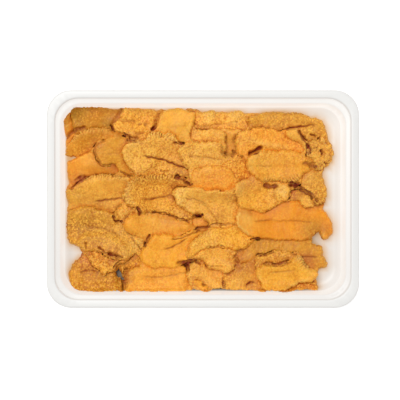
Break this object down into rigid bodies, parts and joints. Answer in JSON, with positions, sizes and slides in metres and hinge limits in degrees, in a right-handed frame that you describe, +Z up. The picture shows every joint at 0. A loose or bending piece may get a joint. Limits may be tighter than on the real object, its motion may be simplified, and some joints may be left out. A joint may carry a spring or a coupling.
{
  "type": "tray of sea urchin roe",
  "caption": "Open white moulded food tray with a rounded rim and stacking ledge, filled with loose, overlapping tongues of golden-orange sea urchin roe.",
  "frame": {"origin": "centre of the tray's flat base, on the surface it stands on", "axes": "+X along the tray's length, +Y across it, +Z up out of the tray"},
  "size_m": [0.182, 0.127, 0.026],
  "materials": {
    "tray": "white moulded plastic, soft gloss",
    "roe_bright": "moist, fine-grained, yellow-orange",
    "roe_golden": "moist, fine-grained, golden",
    "roe_ochre": "moist, granular, ochre",
    "roe_orange": "moist, smooth, orange"
  },
  "bodies": {
    "root": {"tray": "tray", "tongue_00": "roe_orange", "tongue_01": "roe_ochre", "tongue_02": "roe_golden", "tongue_03": "roe_bright", "tongue_04": "roe_golden", "tongue_05": "roe_golden", "tongue_06": "roe_golden", "tongue_07": "roe_ochre", "tongue_08": "roe_golden", "tongue_09": "roe_golden", "tongue_10": "roe_orange", "tongue_11": "roe_golden", "tongue_12": "roe_golden", "tongue_13": "roe_bright", "tongue_14": "roe_orange", "tongue_15": "roe_golden", "tongue_16": "roe_golden", "tongue_17": "roe_bright", "tongue_18": "roe_orange", "tongue_19": "roe_orange", "tongue_20": "roe_ochre", "tongue_21": "roe_ochre", "tongue_22": "roe_golden", "tongue_23": "roe_bright", "tongue_24": "roe_ochre", "tongue_25": "roe_bright", "tongue_26": "roe_orange", "tongue_27": "roe_golden", "tongue_28": "roe_orange", "tongue_29": "roe_golden", "tongue_30": "roe_golden", "tongue_31": "roe_ochre", "tongue_32": "roe_ochre", "tongue_33": "roe_golden", "tongue_34": "roe_bright", "tongue_35": "roe_bright", "tongue_36": "roe_golden", "tongue_37": "roe_golden", "tongue_38": "roe_bright", "tongue_39": "roe_golden", "tongue_41": "roe_ochre", "tongue_42": "roe_ochre", "tongue_43": "roe_bright", "tongue_44": "roe_ochre"}
  },
  "joints": []
}
